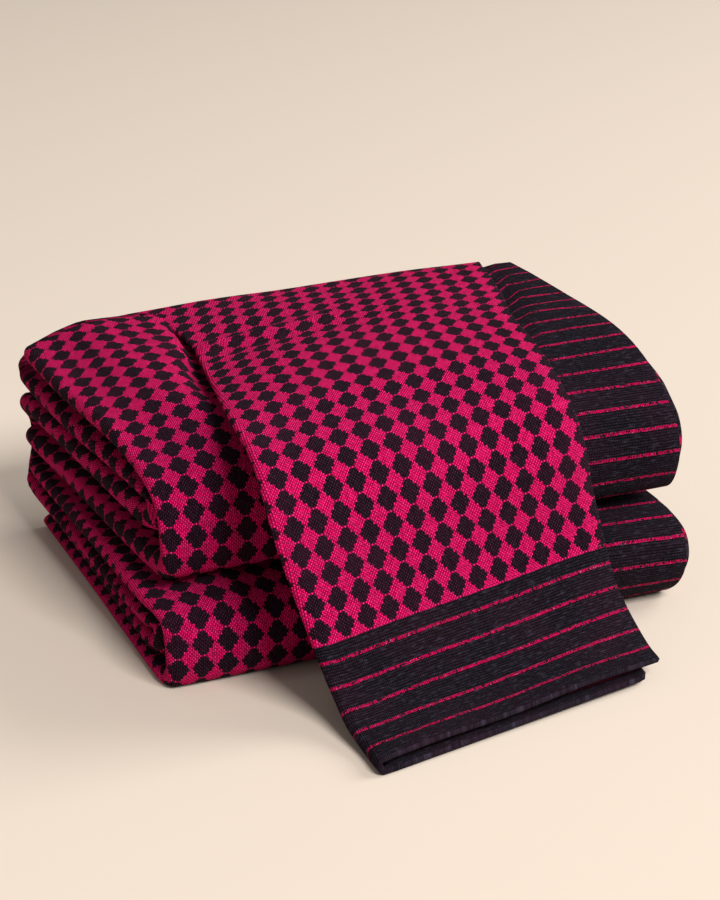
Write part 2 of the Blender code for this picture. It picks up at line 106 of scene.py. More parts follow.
RAILS = (
    # bottom pass, from its free end at the back to the lower front fold
    (2, 9, 207, 1, 205, 22, 285, 154, 1, 152, 22, 0, 2, 0, 0, 0, 0, 184, 238, 0, 0),
    (2, 8, 110, 1, 110, 21, 285, 66, 1, 66, 21.5, 0, 2, 0, 0, 0, 0, 184, 238, 0, 0),
    (1, 6, 8, 1, 20, 20, 285, -14, 1, -6, 21, 0, 1, 0, 0, 0, 0, 184, 238, 0, 0),
    (1, 7, -10, 1.1, 13, 20.2, 285, -29, 1.4, -15, 21.2, 0, 0, 0, 0, 0, 0, 184, 238, 0, 0),
    (1, 8, -16.5, 7, 9, 21.2, 285, -42, 9.5, -20, 22.2, 0, 0, 0, 0, 0, 0, 184, 238, 0, 0),
    (1, 8, -17.5, 18, 7.5, 22.6, 285, -50, 20.5, -23, 23.6, 0, 0, 0, 0, 0, 0, 184, 238, 0, 0),
    (1, 8, -16, 30, 7.5, 24.4, 285, -51.5, 32, -23.5, 25.4, 0, 0, 0, 0, 0, 0, 184, 238, 0, 0),
    (1, 8, -10, 40, 9, 25.8, 285, -46, 43.5, -22, 26.8, 2, 0, 0, 0, 0, 0, 184, 238, 0, 0),
    (1, 7, 3, 45, 13, 26.8, 285, -30, 50, -17, 27.8, 4, 2, 0, 0, 0, 0, 184, 238, 0, 0),
    # third pass, towards the back
    (2, 6, 24, 46.5, 26, 27, 285, -8, 52.5, -6, 28, 6, 4, 0, 0, 0, 0, 184, 238, 0, 0),
    (2, 4, 110, 50, 110, 28.5, 285, 66, 54, 66, 29, 8, 5, 0, 0, 0, 0, 184, 238, 0, 0),
    # fold at the back, where the inner rail is outside
    (1, 2, 194, 53, 202, 29.5, 285, 136, 56, 144, 30.5, 8, 5, 0, 0, 0, 0, 184, 238, 0, 0),
    (1, 4, 201, 53.6, 215, 35, 285, 143, 56.4, 157, 36, 4, 2, 0, 0, 0, 0, 184, 238, 0, 0),
    (1, 9, 204, 55, 222, 49, 285, 146, 57.8, 164, 51, 0, 0, 0, 0, 0, 0, 184, 238, 0, 0),
    (1, 9, 204, 57.8, 222, 66.5, 285, 146, 60.6, 164, 71, 0, 0, 0, 0, 0, 0, 184, 238, 0, 0),
    (1, 3, 201, 59.2, 215, 80.5, 285, 143, 62, 157, 86, 2, 0, 0, 0, 0, 0, 184, 238, 0, 0),
    # second pass, towards the front
    (2, 2, 193, 59.5, 201, 86, 285, 135, 62.4, 142, 91, 4, 1, 0, 0, 0, 0, 184, 238, 0, 0),
    (2, 8, 120, 56.5, 120, 85, 285, 70, 61, 70, 91.5, 5, 2, 0, 0, 0, 0, 184, 238, 0, 0),
    (1, 13, 42, 52, 46, 82, 285, -2, 60.5, 6, 92, 3, 1, 0, 0, 0, 0, 184, 238, 0, 0),
    # upper front fold
    (1, 15, 19, 49.6, 36, 82, 285, -19, 60.5, -3, 92.3, 1, 0, 0, 0, 0, 0, 184, 238, 0, 0),
    (1, 16, 8, 53, 32, 83, 285, -33, 66.5, -7.5, 93.4, 0, 0, 0, 0, 0, 0, 184, 238, 0, 0),
    (1, 16, 5.5, 67, 30.5, 84.4, 285, -39.5, 79, -9, 94.8, 0, 0, 0, 0, 0, 0, 184, 238, 0, 0),
    (1, 16, 8.5, 84, 30.5, 86.2, 285, -40, 93, -9, 96.6, 0, 0, 0, 0, 0, 0, 184, 238, 0, 0),
    (1, 15.5, 16.5, 97, 32, 87.6, 285, -32.5, 108, -7.5, 98.2, 2, 0, 0, 0, 0, 0, 184, 238, 0, 0),
    (1, 15, 30, 106.5, 36, 88.8, 285, -16.5, 121.5, -3, 99.4, 5, 2, 0, 0.5, 0, 0, 184, 238, 0, 0),
    # top pass, towards the back
    (1, 14, 51, 114.5, 52, 89.5, 285, 9, 132.5, 14, 100, 8, 3, 0, 1, 0, 0, 184, 238, 0, 0),
    (2, 11.5, 82, 121.5, 82, 90.5, 285, 44, 138, 44, 100, 10, 4, 0, 1, 0, 0, 184, 238, 0, 0),
    (2, 6, 138, 125.5, 138, 92, 285, 100, 139.5, 100, 100, 11, 4, 0, 1, 0, 0, 184, 238, 0, 0),
    # fold at the back into the flap: the outer two layers narrow before it, the inner two go round it
    (1, 3, 197, 126.5, 201, 92.5, 285, 146.5, 139.5, 151, 100.5, 8, 2, 0, 1, 0, 0, 110, 238, 0, 0),
    (1, 3, 204, 124, 211, 95, 285, 150, 138.5, 158, 104, 6, 0, 0, 1, 1, 0, 110, 238, 0, 0),
    (1, 6, 204.5, 117.2, 219, 102, 282, 151.9, 132, 166, 114, 4, 0, 0, 0.5, 1, 0.1, 110, 236, 0, 0),
    (1, 20, 200, 117.2, 220.5, 111, 279, 150.6, 132, 169, 126, 0, 0, 0, 0, 1, 0.4, 112, 234, 0, 0),
    (1, 52, 189, 117.2, 214.5, 120, 274, 148, 132, 163, 136.5, 0, 0, 1, 0, 1, 0.85, 116, 231, 0, 0),
    # flap over the top, towards the front
    (2, 80, 174, 117, 197, 125.6, 266, 139, 131.8, 147, 140.4, 0, 0, 2, 0, 1, 1, 120, 227, 0, 0),
    (2, 78, 134, 118.2, 134, 126.6, 252, 98, 132.4, 98, 141, 0, 0, 5, 0, 1, 1, 140, 214, 0, 0),
    (2, 66, 74, 121, 74, 129.5, 238, 60, 131.9, 60, 140.4, 0, 0, 6.5, 0, 1, 1, 155, 205, 0, 0),
    (1, 55.5, 22, 121, 18, 131, 231, 22, 128.4, 20, 137.6, 0, 0, 3.5, 0, 1, 1, 158, 203, 0, 0),
    (1, 52.5, -1, 119, -6, 129, 227, 2, 125, -1, 134.6, 0, 0, 1, 0, 1, 1, 160.5, 204.5, 0, 0),
    # down over the front folds
    (1, 50, -22, 115.5, -28, 125, 223.5, -17, 119, -22, 128.4, 0, 0, 0, 0, 1, 1, 160.5, 206.5, 0, 0),
    (1, 48, -37, 108, -45, 116, 222.5, -31, 110, -38, 117.5, 0, 0, 0, 0, 1, 1, 160.5, 207.5, 0, 0),
    (1, 47.5, -46, 97, -55, 102.5, 223.5, -38.5, 97, -47, 101.5, 0, 0, 0, 0, 1, 1, 162.5, 212, 0, 0),
    (2, 49.5, -51, 84, -60.5, 87.5, 225, -41.5, 82.5, -50, 85, 0, 0, 0, 0, 1, 1, 165.5, 215.5, 0, 0),
    (2, 55.5, -58, 58, -68, 61, 228.5, -47.5, 57.5, -56.5, 59.5, 0, 0, 0, 0, 1, 1, 171.5, 222, 0, 0),
    (1, 61.5, -67, 32, -77.5, 36, 231, -57, 32, -66, 35, 0, 0, 0, 0, 1, 1, 175, 225, 0, 0),
    (1, 65.5, -76, 13, -86, 20, 233, -67, 15, -76, 22.5, 0, 0, 0, 0, 1, 1, 178, 226, 0, 0),
    # hem, lying on the surface
    (1, 67, -91, 3, -99, 14.2, 233, -80, 4, -89, 17.6, 0, 0, 0, 0, 1, 1, 178, 224, 7, 3.5),
    (1, 67, -109, 1.7, -116, 12.4, 232, -93, 1.7, -101, 16.2, 0, 0, 0, 0, 1, 1, 177, 222, 18, 7),
    (0, 66, -127, 1.7, -132, 12.4, 230, -106, 1.7, -112, 16.2, 0, 0, 0, 0, 1, 1, 175, 220, 28, 7),
)

# The rows between which the flap lies over the top.
FLAP_FIRST_ROW = 31
FLAP_LAST_ROW = 38

# One row a place across the folded width: the layer it lies on (0 is the outer rail, 3 the inner), where it
# lies on the pile and where on the flap, both as a share from left to right. On the flap the share is of the
# lowest pair's width for layers 0 and 1, of the width up to the pair's right end for layer 2, and of the
# whole width for layer 3. A row of layer 0.5, 1.5 or 2.5 stands for the turn that joins two layers.
ACROSS = (
    (0.0, 1.0, 0.97),
    (0.0, 0.93, 0.9),
    (0.0, 0.86, 0.82),
    (0.0, 0.79, 0.74),
    (0.0, 0.71, 0.66),
    (0.0, 0.62, 0.58),
    (0.0, 0.5, 0.5),
    (0.0, 0.4, 0.42),
    (0.0, 0.33, 0.34),
    (0.0, 0.27, 0.27),
    (0.0, 0.21, 0.2),
    (0.0, 0.15, 0.14),
    (0.0, 0.08, 0.09),
    (0.0, 0.02, 0.04),
    (0.5, 0.0, 0.0),
    (1.0, 0.03, 0.06),
    (1.0, 0.3, 0.35),
    (1.0, 0.66, 0.68),
    (1.0, 0.97, 0.97),
    (1.5, 1.0, 1.0),
    (2.0, 0.97, 0.98),
    (2.0, 0.8, 0.8),
    (2.0, 0.5, 0.5),
    (2.0, 0.25, 0.25),
    (2.0, 0.03, 0.04),
    (2.5, 0.0, 0.0),
    (3.0, 0.02, 0.03),
    (3.0, 0.12, 0.12),
    (3.0, 0.32, 0.28),
    (3.0, 0.52, 0.46),
    (3.0, 0.7, 0.64),
    (3.0, 0.84, 0.82),
    (3.0, 0.95, 1.0),
)

# Places in a turn, and lines and places made between two rows of the tables.
TURN_STEPS = 9
LINES_PER_STEP = 5
PLACES_PER_STEP = 3

# The middle of the pile's footprint, in the tables' millimetres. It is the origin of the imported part.
PILE_CENTRE = (144.5001, 44.1018, 0.0)

# Creases of the top, one row a stretch: its two ends, its half-width and how far it rises (below 0 it sinks).
CREASES = (
    # ridge and hollows where the flap's left edge begins
    (67.0, 121.5, 85.5, 121.5, 4.0, 2.4),
    (85.5, 121.5, 114.5, 112.0, 4.5, 2.2),
    (114.5, 112.0, 144.0, 110.0, 5.0, 1.5),
    (144.0, 110.0, 169.5, 125.5, 6.0, 1.0),
    (83.0, 138.5, 116.0, 130.5, 6.0, -1.3),
    (116.0, 130.5, 146.5, 130.0, 7.0, -1.0),
    (80.0, 105.0, 114.0, 97.0, 6.0, -1.4),
    (114.0, 97.0, 141.0, 95.0, 6.0, -0.8),
    # waves of the striped border beside the flap
    (260.0, 119.0, 275.0, 122.0, 5.0, 1.2),
    (253.0, 92.0, 274.0, 93.0, 5.0, 1.3),
    (245.0, 62.0, 274.0, 64.0, 6.0, 0.9),
    # soft dents of the top at the left
    (30.0, 70.0, 42.0, 150.0, 10.0, -1.0),
    (16.0, 100.0, 58.0, 62.0, 8.0, 0.7),
)

# Creases and waves fade out over this share of the height from the top layer to the lowest.
CREASED_DEPTH = 0.2

# Soft waves of the top along X and along Y: height, length, and how strongly and over what length the other
# axis bends them.
WAVES_X = (0.45, 14.0, 1.6, 31.0)
WAVES_Y = (0.35, 17.0, 1.4, 23.0)

# A repeat of the check in metres. What follows is in repeats: the cloth's width, its striped border and its
# striped end, the plain rim of the selvedge without a border, and the plain band on each side of the hidden
# turn at the right.
REPEAT_ACROSS = 0.013
REPEAT_ALONG = 0.01318
CLOTH_WIDTH = 88.6
BORDER = 5.5
END_BAND = 5.55
SELVEDGE = 0.08
HIDDEN_BAND = 1.0

# Where the weave lies. Each stretch of the cloth has its own start: the rows of the table it covers, the row
# that its lengths are counted from, the weave's place there in repeats, and its shift across in repeats. The
# rows between two stretches lie out of sight and pass evenly from one to the next. The last stretch is the
# flap.
WEAVE_STRETCHES = (
    (0, 9, 2, 0.0, -0.046),
    (16, 28, 19, 0.0, 0.385),
    (31, 47, 47, 0.6, -0.1),
)

# Yarns in a repeat along the cloth and across it, and how far they stray, in repeats.
YARNS = 13.0
YARNS_ACROSS = 14.0
WANDER = 0.035

# A diamond of the check, in yarns: half its width, and the reach of its stepped sides.
DIAMOND_HALF = 5.0
DIAMOND_REACH = 6.0

# Bands, in repeats: the end band's first line from the hem, its shift on the layers below LOWER_PAIR_UP_TO,
# half a line's width, where it has faded out, half the parting between its rows of dashes, and how far it
# strays. Last, the ribs in a repeat.
END_LINE_AT = 0.9
LOWER_PAIR_LINES = 0.5
LOWER_PAIR_UP_TO = 2.2
LINE_HALF = 0.05
LINE_FADED = 0.072
LINE_PARTING = 0.03
LINE_WANDER = 0.05
RIBS = 9.0


def rgb(red, green, blue):
    """A colour given as 0 to 255 on a screen, as the shader's linear values."""
    screen = np.array([red, green, blue]) / 255
    linear = np.where(screen < 0.04045, screen / 12.92, ((screen + 0.055) / 1.055) ** 2.4)
    return (*linear, 1.0)


# Colours of the yarns: plain, a painted highlight where they are raised, and painted shade in the gaps beside
# them; for the bands, a painted highlight on thick yarns and painted shade in the grooves of the ribs. Then
# the pale flecks in the bands' lines, and what worn places take on.
CERISE = rgb(244, 2, 102)
CERISE_PAINTED_HIGHLIGHT = rgb(255, 52, 136)
CERISE_PAINTED_SHADE = rgb(128, 0, 48)
DARK = rgb(34, 15, 28)
DARK_PAINTED_HIGHLIGHT = rgb(68, 38, 58)
DARK_PAINTED_SHADE = rgb(12, 4, 9)
BAND = rgb(42, 34, 46)
BAND_PAINTED_HIGHLIGHT = rgb(64, 60, 76)
BAND_PAINTED_SHADE = rgb(8, 6, 11)
FLECK = rgb(190, 170, 205)
WORN = rgb(120, 40, 76)

# How strongly slubs darken the check and the bands, how much wear shows, and how the cotton takes the light.
SLUB = 0.35
BAND_SLUB = 0.6
WEAR = 0.05
ROUGHNESS = 0.9
SPECULAR = 0.03
SHEEN = 0.01
SHEEN_ROUGHNESS = 0.5
BUMP_DEPTH = 0.0005

# The studio, in metres from the pile's middle: floor, sky, and each light's name, place, size and watts.
FLOOR_REACH = 6.0
FLOOR_COLOUR = rgb(212, 198, 184)
FLOOR_ROUGHNESS = 0.8
SKY_COLOUR = rgb(250, 246, 242)
SKY_STRENGTH = 0.29
LIGHT_COLOUR = (1.0, 0.985, 0.96)
LIT_POINT = (0.0, 0.0, 0.05)
LIGHTS = (
    ("key", (0.9, -4.1, 4.3), 2.3, 400.0),
    ("fill", (4.5, -0.5, 3.0), 3.0, 210.0),
)

# The camera: its place in the tables' millimetres, the directions of its picture, and its lens, given as a
# distance in pixels for a picture 900 pixels high.
CAMERA_PLACE = (-280.7, -873.42, 506.88)
CAMERA_ACROSS = (0.90707, -0.42067, -0.01627)
CAMERA_DOWN = (-0.17604, -0.34391, -0.92235)
CAMERA_AHEAD = (0.38241, 0.8395, -0.386)
LENS_PIXELS = 2025.76
PICTURE_HEIGHT = 900.0
SENSOR = 36.0


def soft_step(t):
    """0 up to 0, 1 from 1, and 3 t^2 - 2 t^3 in between."""
    t = np.clip(t, 0.0, 1.0)
    return t * t * (3.0 - 2.0 * t)


def smooth_through(values, steps):
    """Each column as a curve through its rows (a cubic with the slope between its neighbours at each row),
    with a row's number of steps to the next."""
    points = np.vstack([2 * values[0] - values[1], values, 2 * values[-1] - values[-2]])
    out = []
    for i, count in enumerate(steps[:-1].astype(int)):
        p0, p1, p2, p3 = points[i : i + 4]
        t = (np.arange(count) / count)[:, None]
        a = 2 * p1 + (p2 - p0) * t
        b = (2 * p0 - 5 * p1 + 4 * p2 - p3) * t * t
        c = (3 * p1 - p0 - 3 * p2 + p3) * t * t * t
        out.append((a + b + c) / 2)
    out.append(values[-1:])
    return np.vstack(out)


def row_lines():
    """The grid's line at each row of the table of rails."""
    steps = np.array(RAILS, float)[:-1, 0].astype(int) * LINES_PER_STEP
    return np.concatenate([[0], np.cumsum(steps)])


def across_places():
    """Places across the folded width, finer than the table: height between the rails (0 to 1), share on the
    pile, share on the flap, and how far a turn sticks out at the left and at the right. A straight stretch is
    split evenly, and a turn is a half circle, with height (1 - cos) / 2 between its two layers and out by the
    sine."""
    rows = []
    gaps = LAYERS_ACROSS - 1
    for k, (layer, pile, flap) in enumerate(ACROSS):
        if layer != int(layer):
            angle = np.pi * np.arange(1, TURN_STEPS + 1) / (TURN_STEPS + 1)
            height = (int(layer) + (1 - np.cos(angle)) / 2) / gaps
            left = np.sin(angle) if layer != 1.5 else 0 * angle
            right = np.sin(angle) if layer == 1.5 else 0 * angle
            rows.append(np.stack([height, 0 * angle + pile, 0 * angle + flap, -left, right], axis=1))
            continue
        after = ACROSS[k + 1] if k + 1 < len(ACROSS) else (layer + 0.5,)
        if after[0] != layer:
            rows.append(np.array([[layer / gaps, pile, flap, 0.0, 0.0]]))
            continue
        t = np.arange(PLACES_PER_STEP) / PLACES_PER_STEP
        on_pile = pile + (after[1] - pile) * t
        on_flap = flap + (after[2] - flap) * t
        rows.append(np.stack([0 * t + layer / gaps, on_pile, on_flap, 0 * t, 0 * t], axis=1))
    return np.vstack(rows)


def line_values():
    """Each line's own values, smoothed through the table of rails, and the cloth's thickness on it, which
    grows by a soft step to the hem."""
    rails = np.array(RAILS, float)
    line = dict(zip(RAIL_COLUMNS[1:], smooth_through(rails[:, 1:], rails[:, 0] * LINES_PER_STEP).T))
    for name in ("pressed", "flap_o", "flap_i"):
        line[name] = np.clip(line[name], 0.0, 1.0)
    lines = len(line["left_x"])
    to_hem = lines - 1 - np.arange(lines)
    hemmed = soft_step(1 - to_hem / (HEM_ROWS * LINES_PER_STEP))
    return line, CLOTH_THICKNESS + (HEM_THICKNESS - CLOTH_THICKNESS) * hemmed


def waves(along, aside, shape):
    """Soft waves: height times the sine of the way along in lengths, bent by a sine of the way aside."""
    high, length, bend, bend_length = shape
    return high * np.sin(along / length + bend * np.sin(aside / bend_length))


def creased(x, y, z, line, height):
    """The top's heights moved by the creases: each rises by exp(-(distance to its stretch / half-width)^2) of
    its height, on the outer layer of the pile and on the flap's fourth layer, with soft waves of under a
    millimetre."""
    on_flap = line["flap_i"][:, None] * soft_step((height - 1 + CREASED_DEPTH) / CREASED_DEPTH)
    before_flap = (1 - line["flap_o"][:, None]) * line["pressed"][:, None]
    on_pile = before_flap * (1 - soft_step(height / CREASED_DEPTH))
    rise = waves(x, y, WAVES_X) + waves(y, x, WAVES_Y)
    for from_x, from_y, to_x, to_y, wide, high in CREASES:
        run = np.array([to_x - from_x, to_y - from_y])
        share = np.clip(((x - from_x) * run[0] + (y - from_y) * run[1]) / (run @ run), 0.0, 1.0)
        away = np.hypot(x - from_x - share * run[0], y - from_y - share * run[1])
        rise = rise + high * np.exp(-((away / wide) ** 2))
    return z + np.maximum(on_flap, on_pile) * rise


def pinched(height, pile):
    """The height of each place with the second layer's right end drawn up close under the outer layer."""
    second = 1 / (LAYERS_ACROSS - 1)
    near = soft_step((pile - 1 + PINCH_REACH) / PINCH_REACH) * (height > 0)
    drawn = height - SECOND_LAYER_PINCH * second * np.clip(2 - height / second, 0.0, 1.0)
    return np.where(height < 2 * second, height + (drawn - height) * near, height)


def between_rails(line, k, end, height):
    """Y and Z of one end of line k, which is "l" or "r", at a height between the outer and the inner rail."""
    outer, inner = end + "o", end + "i"
    return [line[outer + axis][k] * (1 - height) + line[inner + axis][k] * height for axis in "yz"]


def below_flap(line, x, y):
    """The highest place for the middle of the cloth under the flap at each x, y: a gap under the flap's
    lowest layer, rising away from its edges. Between two lines of the flap it passes evenly."""
    third = 2 / (LAYERS_ACROSS - 1)
    to_back = soft_step((y - BACK_SLOPE_FROM) / BACK_SLOPE_REACH)
    slope = PRESSED_SLOPE + (BACK_SLOPE - PRESSED_SLOPE) * to_back
    tops = []
    places = []
    for k in range(row_lines()[FLAP_FIRST_ROW], row_lines()[FLAP_LAST_ROW] + 1):
        left, right = line["left_x"][k], line["right_x"][k]
        outside = np.maximum(np.maximum(left - EDGE_MARGIN - x, x - EDGE_MARGIN - right), 0.0)
        share = np.clip((x - left) / (right - left), 0.0, 1.0)
        before_pair = soft_step((line["pair_l"][k] - x) / PAIR_MARGIN)
        after_pair = soft_step((x - line["pair_r"][k] - PAIR_MARGIN) / PAIR_MARGIN)
        height = third * before_pair + after_pair
        left_y, left_z = between_rails(line, k, "l", height)
        right_y, right_z = between_rails(line, k, "r", height)
        crown = 4 * line["crown"][k] * share * (1 - share)
        tops.append(left_z * (1 - share) + right_z * share + crown + slope * outside)
        places.append(left_y * (1 - share) + right_y * share)
    top = tops[0]
    for k in range(len(tops) - 1):
        part_way = np.clip((places[k] - y) / np.maximum(places[k] - places[k + 1], 0.1), 0.0, 1.0)
        top = top + (tops[k + 1] - tops[k]) * part_way
    return top - PRESSED_GAP - GROOVE_DEEPER * (1 - to_back)


def places_x(column, layer, pile, flap, on_flap):
    """X of each place: by its share of the pile's width, and on the flap by its share of its own layer's
    width."""
    width = column["right_x"] - column["left_x"]
    of_pair = column["pair_l"] + (column["pair_r"] - column["pair_l"]) * flap
    of_third = column["left_x"] + (column["pair_r"] - column["left_x"]) * flap
    of_all = column["left_x"] + width * flap
    flap_x = np.where(layer < THIRD_FROM, of_pair, np.where(layer < FOURTH_FROM, of_third, of_all))
    x = column["left_x"] + width * pile
    return x + (flap_x - x) * on_flap


def middle_surface():
    """Points of the cloth's middle, a grid of lines across, the cloth's thickness on each line, the lines'
    own values and each place's height between the rails. A line runs straight from its left to its right rail
    point, and a place lies between the outer and the inner rail by its height."""
    line, thickness = line_values()
    column = {name: values[:, None] for name, values in line.items()}
    table_height, pile, flap, left_out, right_out = across_places().T
    layer = table_height * (LAYERS_ACROSS - 1)
    to_third = np.clip(layer - 1, 0.0, 1.0)
    on_flap = column["flap_o"] * (1 - to_third) + column["flap_i"] * to_third
    x = places_x(column, layer, pile, flap, on_flap)
    width = column["right_x"] - column["left_x"]
    share = (x - column["left_x"]) / width
    height = pinched(table_height, pile) * (1 - on_flap) + table_height * on_flap

    spacing = np.hypot(column["loy"] - column["liy"], column["loz"] - column["liz"]) / (LAYERS_ACROSS - 1)
    roundest = (spacing / 2) ** 2 / (thickness[:, None] / 2 + TURN_INSIDE_RADIUS)
    x = x + np.minimum(SIDE_TURN_BULGE, roundest) * left_out
    x = x + np.minimum(RIGHT_TURN_STICKS_OUT, roundest) * right_out

    outer_y = column["loy"] * (1 - share) + column["roy"] * share
    inner_y = column["liy"] * (1 - share) + column["riy"] * share
    outer_z = column["loz"] * (1 - share) + column["roz"] * share
    inner_z = column["liz"] * (1 - share) + column["riz"] * share
    y = outer_y * (1 - height) + inner_y * height
    z = outer_z * (1 - height) + inner_z * height
    near_left = soft_step(1 - (width * share) / LEFT_DROOP_REACH)
    z = z - (column["droop_o"] * (1 - height) + column["droop_i"] * height) * near_left
    z = z + 4 * column["crown"] * share * (1 - share)

    pressed = np.maximum(outer_z - column["droop_o"] * near_left - below_flap(line, x, outer_y), 0.0)
    z = z - column["pressed"] * pressed * (1 - (1 - PRESSED_LEFT_FOR_INNER_LAYERS) * height)
    y = y + column["pair_back"] * (1 - to_third)
    y = y - column["settled"] * THIRD_STICKS_OUT * np.clip(1 - np.abs(layer - 2), 0.0, 1.0)
    z = z - column["settled"] * (to_third - (1 - FOURTH_SETTLES) * np.clip(layer - 2, 0.0, 1.0))
    z = creased(x, y, z, line, height)
    z = np.maximum(z, thickness[:, None] / 2)
    return np.stack([x, y, z], axis=2), thickness, line, table_height


def unit(vectors):
    """Each vector divided by its length."""
    return vectors / np.linalg.norm(vectors, axis=-1, keepdims=True)


def lengths_along(points, axis):
    """Cumulative length of the grid's lines along one axis, from 0."""
    pieces = np.linalg.norm(np.diff(points, axis=axis), axis=2)
    start = np.zeros_like(np.take(pieces, [0], axis=axis))
    return np.concatenate([start, np.cumsum(pieces, axis=axis)], axis=axis)


def begun_at_hem(on_pile, on_flap, at):
    """Repeats from the start to the hem: over the pile up to the turn at the back, then over the flap."""
    turn = int(row_lines()[WEAVE_STRETCHES[-1][0]])
    return np.median(on_pile[turn]) + np.median(on_flap[at] - on_flap[turn])


def shown_lengths(points, line, layer, along):
    """Lengths along the layer that shows. On the pile that is the outer layer with its left turn, and for the
    other layers the inner left turn, which the second layer reaches evenly from its left to its right. On the
    flap it is the fourth layer."""
    place = np.arange(len(layer))
    outer_end = int(np.flatnonzero(layer == 0)[-1])
    inner_turn = int(np.argmin(np.abs(layer - 2.5)))
    inner_start = int(np.flatnonzero(layer == 3)[0])
    second_x = (points[:, :, 0] - line["left_x"][:, None]) / (line["right_x"] - line["left_x"])[:, None]
    share = np.where(layer == 1, np.clip(second_x, 0.0, 1.0), layer > 1)
    on_pile = along[:, np.minimum(place, outer_end)] * (1 - share) + along[:, [inner_turn]] * share
    return on_pile, along[:, np.maximum(place, inner_start)]


def weave_places(points, on_pile, on_flap, across):
    """The weave's place across and along at each point, in repeats. A stretch counts its lengths from one row
    of the table, where the whole repeats before it are begun, and two stretches pass evenly into each other.
    On the flap the width is counted so that its last place lies at the cloth's full width."""
    table_row = np.interp(np.arange(len(points)), row_lines(), np.arange(len(RAILS)))
    u = 0.0
    v = 0.0
    begun = 0.0
    for k, (first, last, counted_from, start, shift) in enumerate(WEAVE_STRETCHES):
        is_flap = k == len(WEAVE_STRETCHES) - 1
        before = WEAVE_STRETCHES[k - 1][1] if k else first - 1
        after = last + 1 if is_flap else WEAVE_STRETCHES[k + 1][0]
        weight = np.interp(table_row, (before, first, last, after), (0.0, 1.0, 1.0, 0.0))[:, None]
        at = int(row_lines()[counted_from])
        if is_flap:
            begun = float(np.round(begun_at_hem(on_pile, on_flap, at)))
        elif k:
            begun = float(np.round(on_pile[at, 0]))
        lengths = on_flap if is_flap else on_pile
        v = v + weight * (lengths - lengths[at] + begun + start)
        widths = CLOTH_WIDTH - across[:, -1:] + across if is_flap else across
        u = u + weight * (widths + shift)
    return u, v


def cloth_marks(points, line, height):
    """Where the weave lies on the cloth, in repeats: across from the striped selvedge, along from the buried
    end, the repeats left to the hem, and how far a point lies inside a striped or plain band (over 0 is
    inside)."""
    layer = height * (LAYERS_ACROSS - 1)
    along = lengths_along(points, 0) * MM / REPEAT_ALONG
    across = lengths_along(points, 1) * MM / REPEAT_ACROSS
    on_pile, on_flap = shown_lengths(points, line, layer, along)
    u, v = weave_places(points, on_pile, on_flap, across)
    left = on_flap[-1:] - on_flap + LOWER_PAIR_LINES * np.clip(LOWER_PAIR_UP_TO - layer, 0.0, 1.0)
    flap_share = line["flap_i"][:, None]
    border = (BORDER - u) * (1 - flap_share) - flap_share
    hidden_turn = int(np.argmin(np.abs(layer - 1.5)))
    hidden_band = HIDDEN_BAND - np.abs(across - across[:, [hidden_turn]])
    selvedge = SELVEDGE - (across[:, -1:] - across)
    band = np.maximum.reduce([border, hidden_band, selvedge, END_BAND - left])
    return u, v, left, band


def closed_cloth(middle, thickness, marks):
    """Both faces of the cloth and its four edges as one closed grid mesh: each face lies half the thickness
    from the middle surface along its normal, and each edge is two strips that meet LIP of the thickness
    outside it."""
    rows, columns, _ = middle.shape
    normal = unit(np.cross(np.gradient(middle, axis=1), np.gradient(middle, axis=0)))
    offset = normal * thickness[:, None, None] / 2
    grid = np.arange(rows * columns).reshape(rows, columns)
    a, b, c, d = grid[:-1, :-1], grid[:-1, 1:], grid[1:, 1:], grid[1:, :-1]
    face = np.stack([a, b, c, d], axis=2).reshape(-1, 4)
    other = face[:, ::-1] + rows * columns
    rim = np.concatenate([grid[0, :], grid[1:, -1], grid[-1, -2::-1], grid[-2:0:-1, 0]])
    inside = np.concatenate([grid[1, :], grid[1:, -2], grid[-2, -2::-1], grid[-2:0:-1, 1]])
    flat = middle.reshape(-1, 3)
    outward = unit(flat[rim] - flat[inside])
    lip = flat[rim] + outward * (LIP * np.repeat(thickness, columns)[rim])[:, None]
    lip_ring = 2 * rows * columns + np.arange(len(rim))
    strips = []
    for upper, lower in ((rim, lip_ring), (lip_ring, rim + rows * columns)):
        strips.append(np.stack([np.roll(upper, -1), upper, lower, np.roll(lower, -1)], axis=1))
    points = np.vstack([(middle + offset).reshape(-1, 3), (middle - offset).reshape(-1, 3), lip])
    points[:, 2] = np.maximum(points[:, 2], 0.0)
    quads = np.vstack([face, other, *strips])
    return points, quads, [np.concatenate([m.reshape(-1), m.reshape(-1), m.reshape(-1)[rim]]) for m in marks]


def quad_mesh(name, points, quads):
    """A smooth mesh of the points, with one four-sided face for each row of four point numbers."""
    mesh = bpy.data.meshes.new(name)
    mesh.vertices.add(len(points))
    mesh.vertices.foreach_set("co", points.astype(np.float32).ravel())
    mesh.loops.add(quads.size)
    mesh.loops.foreach_set("vertex_index", quads.astype(np.int32).ravel())
    mesh.polygons.add(len(quads))
    mesh.polygons.foreach_set("loop_start", np.arange(0, quads.size, 4, dtype=np.int32))
    mesh.polygons.foreach_set("loop_total", np.full(len(quads), 4, dtype=np.int32))
    mesh.update(calc_edges=True)
    mesh.validate()
    mesh.shade_smooth()
    return mesh


def point_value(mesh, name, values):
    """One number a point, for the material to read by name."""
    mesh.attributes.new(name, "FLOAT", "POINT").data.foreach_set("value", values.astype(np.float32))


